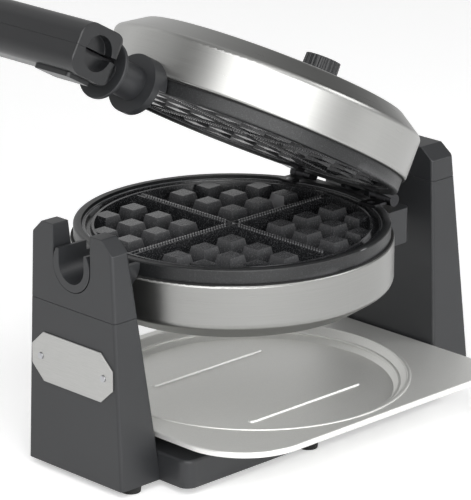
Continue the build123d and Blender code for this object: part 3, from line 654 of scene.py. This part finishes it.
@dataclass
class CrossScrews:
    """The flush hinge screws of one half, each with a cross recess in its head."""

    half: Half
    paint: Paint
    spread_mm: float = 40.0
    back_mm: float = 97.3
    face_mm: float = 0.4
    rim_mm: float = 0.15
    slot_mm: tuple[float, float, float] = (3.8, 0.9, 1.6)
    first_turn: float = 0.4

    def cutter(self, side: int, turn: float) -> bpy.types.Object:
        """Make the bar that cuts one arm of a cross.

        Args:
            side: -1 for the left screw, 1 for the right one.
            turn: The arm's angle about the screw's axis, in radians.

        Returns:
            The bar, in place on the half.
        """
        bpy.ops.object.select_all(action="DESELECT")
        bpy.ops.mesh.primitive_cube_add(size=1)
        cutter = bpy.context.object
        place = Vector((side * self.spread_mm, self.back_mm, self.half.value * self.face_mm)) * MM
        for vertex in cutter.data.vertices:
            spot = Vector((vertex.co[k] * self.slot_mm[k] * MM for k in range(3)))
            spot = DRUM_CENTRE + place + Matrix.Rotation(turn, 3, "Z") @ spot
            vertex.co = to_lid(spot) if self.half is Half.UPPER else spot
        return cutter

    def build(self) -> bpy.types.Object:
        """Cut the recesses into a copy of the screws.

        Returns:
            The finished screws.
        """
        screws = SoftEdged(f"{self.half.name.lower()}_hinge_screws", self.rim_mm, self.paint).build()
        for side in (-1, 1):
            for turn in (self.first_turn, self.first_turn + math.pi / 2):
                cutter = self.cutter(side, turn)
                cut = screws.modifiers.new("recess", "BOOLEAN")
                cut.object, cut.operation, cut.solver = cutter, "DIFFERENCE", "EXACT"
                apply_modifiers(screws)
                bpy.data.objects.remove(cutter)
        return screws


@dataclass
class DrumHalf:
    """What one half of the drum gets beside its CAD nodes: rope ridges, two rim beads and crossed screws."""

    half: Half
    paint: Paint
    gasket_mm: tuple[float, float, float, float] = (111.0, 10.6, 1.9, 0.9)
    # edge_mm sizes the light bead that paints a highlight round the plate's rim
    edge_mm: tuple[float, float, float, float] = (103.6, 2.8, 0.9, 0.9)

    def bead(self, part: str, size_mm: tuple[float, float, float, float], finish: Finish,
             slot_of: str) -> None:
        """Lay one bead round the half.

        Args:
            part: What the bead is called.
            size_mm: Its radius, its distance from the seam, its width and its height.
            finish: Its finish.
            slot_of: Not used; the bead keeps it but gets its own material.
        """
        name, body = self.half.name.lower(), "lid" if self.half is Half.UPPER else "drum"
        radius, depth, width, height = size_mm
        centre = DRUM_CENTRE + Vector((0, 0, self.half.value * depth)) * MM
        RoundBead(f"{name}_{part}", centre, radius, width, height, finish, body, f"{name}_{slot_of}",
                  self.paint).build()

    def build(self) -> None:
        """Dress the half."""
        DividerRope(self.half, self.paint).build()
        self.bead("shell_gasket", self.gasket_mm, FOOT_RUBBER, "bezel")
        # A light bead on the plate's rim: a painted highlight
        self.bead("plate_edge", self.edge_mm, PLATE_RIM_HIGHLIGHT, "plate")
        CrossScrews(self.half, self.paint).build()


@dataclass
class TrayWell:
    """The two beads pressed round the tray's well, one on its rim and one on its slope."""

    paint: Paint
    rim_mm: tuple[float, float] = (107.8, 38.7)
    slope_mm: tuple[float, float] = (101.2, 34.4)
    width_mm: float = 3.0
    height_mm: float = 1.5

    def build(self) -> None:
        """Press both beads."""
        for part, (radius, height) in (("rim_bead", self.rim_mm), ("slope_bead", self.slope_mm)):
            centre = WELL_CENTRE + Vector((0, 0, height)) * MM
            RoundBead(f"well_{part}", centre, radius, self.width_mm, self.height_mm, TRAY_STEEL, "drip_tray",
                      "drip_tray", self.paint).build()


@dataclass
class Studio:
    """Pale floor, soft lamps, white surroundings and the camera.

    Each lamp has its name, its place and side in metres and its power in watts. Each dark side has its
    direction and the cosine of the angle at which it starts.
    """

    target: Vector = field(default_factory=lambda: DRUM_CENTRE + Vector((-7.37, 11.27, -29.0)) * MM)
    azimuth: float = math.radians(45.71)
    elevation: float = math.radians(18.39)
    distance: float = 2.3286
    lens: float = 240.3
    shift_x: float = -0.0018
    shift_y: float = 0.005
    lamps: tuple[tuple[str, tuple[float, float, float], float, float], ...] = (
        ("key_box", (1.2, -1.6, 2.0), 1.9, 42), ("fill_box", (-1.9, -1.0, 1.2), 2.4, 10),
        ("rear_box", (1.7, 1.4, 1.5), 1.2, 16), ("low_box", (1.7, -0.8, 0.5), 1.1, 15))
    dark_sides: tuple[tuple[tuple[float, float, float], float], ...] = (
        ((-0.35, -0.70, 0.62), 0.35), ((0.0, 0.86, 0.51), 0.6))
    pale: float = 0.95
    dark: float = 0.12
    plain_light: float = 0.5
    mirror_light: float = 0.45
    floor_glow: float = 0.42

    def camera(self) -> None:
        """Place the camera where the photograph was taken from."""
        a, e = self.azimuth, self.elevation
        back = Vector((math.sin(a) * math.cos(e), -math.cos(a) * math.cos(e), math.sin(e)))
        data = bpy.data.cameras.new("photo_camera")
        data.lens, data.sensor_width, data.sensor_fit = self.lens, 36.0, "AUTO"
        data.shift_x, data.shift_y = self.shift_x, self.shift_y
        data.clip_end = 50
        camera = bpy.data.objects.new("photo_camera", data)
        camera.location = self.target + back * self.distance
        camera.rotation_euler = back.to_track_quat("Z", "Y").to_euler()
        bpy.context.scene.collection.objects.link(camera)
        bpy.context.scene.camera = camera

    def lamp(self, name: str, place: Sequence[float], size: float, power: float) -> None:
        """Add a square soft box that points at the drum.

        Args:
            name: The lamp's name.
            place: Its place in metres.
            size: Its side in metres.
            power: Its power in watts.
        """
        data = bpy.data.lights.new(name, "AREA")
        data.size, data.energy = size, power
        lamp = bpy.data.objects.new(name, data)
        lamp.location = place
        lamp.rotation_euler = (Vector(place) - DRUM_CENTRE).to_track_quat("Z", "Y").to_euler()
        bpy.context.scene.collection.objects.link(lamp)

    def surroundings(self) -> None:
        """White for the camera, pale with two dark sides for reflections, and a soft grey as light."""
        world = bpy.context.scene.world or bpy.data.worlds.new("studio")
        bpy.context.scene.world = world
        world.use_nodes = True
        tree = world.node_tree
        tree.nodes.clear()
        path = add_node(tree, "ShaderNodeLightPath")
        seen = add_node(tree, "ShaderNodeMath", operation="MAXIMUM", links={
            0: path.outputs["Is Camera Ray"], 1: path.outputs["Is Transmission Ray"]})
        place = add_node(tree, "ShaderNodeTexCoord")
        shade = add_node(tree, "ShaderNodeValue")
        shade.outputs[0].default_value = self.pale
        for side, reach in self.dark_sides:
            aside = add_node(tree, "ShaderNodeVectorMath", {0: place.outputs["Generated"]},
                             operation="DOT_PRODUCT", values={1: side})
            dark = add_node(tree, "ShaderNodeMapRange", {"Value": aside.outputs["Value"]},
                            values={"From Min": reach, "From Max": 1.0, "To Min": 1.0, "To Max": self.dark})
            shade = add_node(tree, "ShaderNodeMath", {0: shade.outputs[0], 1: dark.outputs["Result"]},
                             operation="MULTIPLY")
        power = add_node(tree, "ShaderNodeMath", {0: path.outputs["Is Glossy Ray"]}, operation="MULTIPLY_ADD",
                         values={1: self.mirror_light, 2: self.plain_light})
        light = add_node(tree, "ShaderNodeBackground", {"Color": shade.outputs[0],
                                                        "Strength": power.outputs["Value"]})
        white = add_node(tree, "ShaderNodeBackground", values={"Color": (1, 1, 1, 1), "Strength": 1.0})
        mix = add_node(tree, "ShaderNodeMixShader", {
            0: seen.outputs["Value"], 1: light.outputs[0], 2: white.outputs[0]})
        add_node(tree, "ShaderNodeOutputWorld", {0: mix.outputs[0]})

    def floor(self) -> None:
        """Lay a wide pale floor that keeps the object's shadow."""
        bpy.ops.object.select_all(action="DESELECT")
        bpy.ops.mesh.primitive_plane_add(size=14, location=(0, 0, -0.0003))
        floor = bpy.context.object
        floor.name = "studio_floor"
        material = bpy.data.materials.new("matt_white_floor_paint")
        material.use_nodes = True
        tree = material.node_tree
        shader = tree.nodes["Principled BSDF"]
        shader.inputs["Base Color"].default_value = srgb("f4f4f4")
        shader.inputs["Roughness"].default_value = 0.9
        shader.inputs["Specular IOR Level"].default_value = 0.1
        path = add_node(tree, "ShaderNodeLightPath")
        glow = add_node(tree, "ShaderNodeMath", operation="MAXIMUM", links={
            0: path.outputs["Is Camera Ray"], 1: path.outputs["Is Glossy Ray"]})
        lift = add_node(tree, "ShaderNodeMath", {0: glow.outputs["Value"]}, operation="MULTIPLY",
                        values={1: self.floor_glow})
        shader.inputs["Emission Color"].default_value = (1, 1, 1, 1)
        tree.links.new(lift.outputs["Value"], shader.inputs["Emission Strength"])
        floor.data.materials.append(material)

    def build(self) -> None:
        """Set up the whole studio."""
        self.camera()
        for name, place, size, power in self.lamps:
            self.lamp(name, place, size, power)
        self.surroundings()
        self.floor()
        bpy.context.scene.view_settings.view_transform = "Standard"
        log.info("studio set up")


def main() -> None:
    """Build every sub-assembly in order."""
    paint = Paint()
    paint.coat_nodes()
    for node, radius in MOULDED_EDGES.items():
        SoftEdged(node, radius, paint).build()
    for half in Half:
        DrumHalf(half, paint).build()
    TrayWell(paint).build()
    Studio().build()
    bpy.context.view_layer.update()


if __name__ == "__main__":
    main()
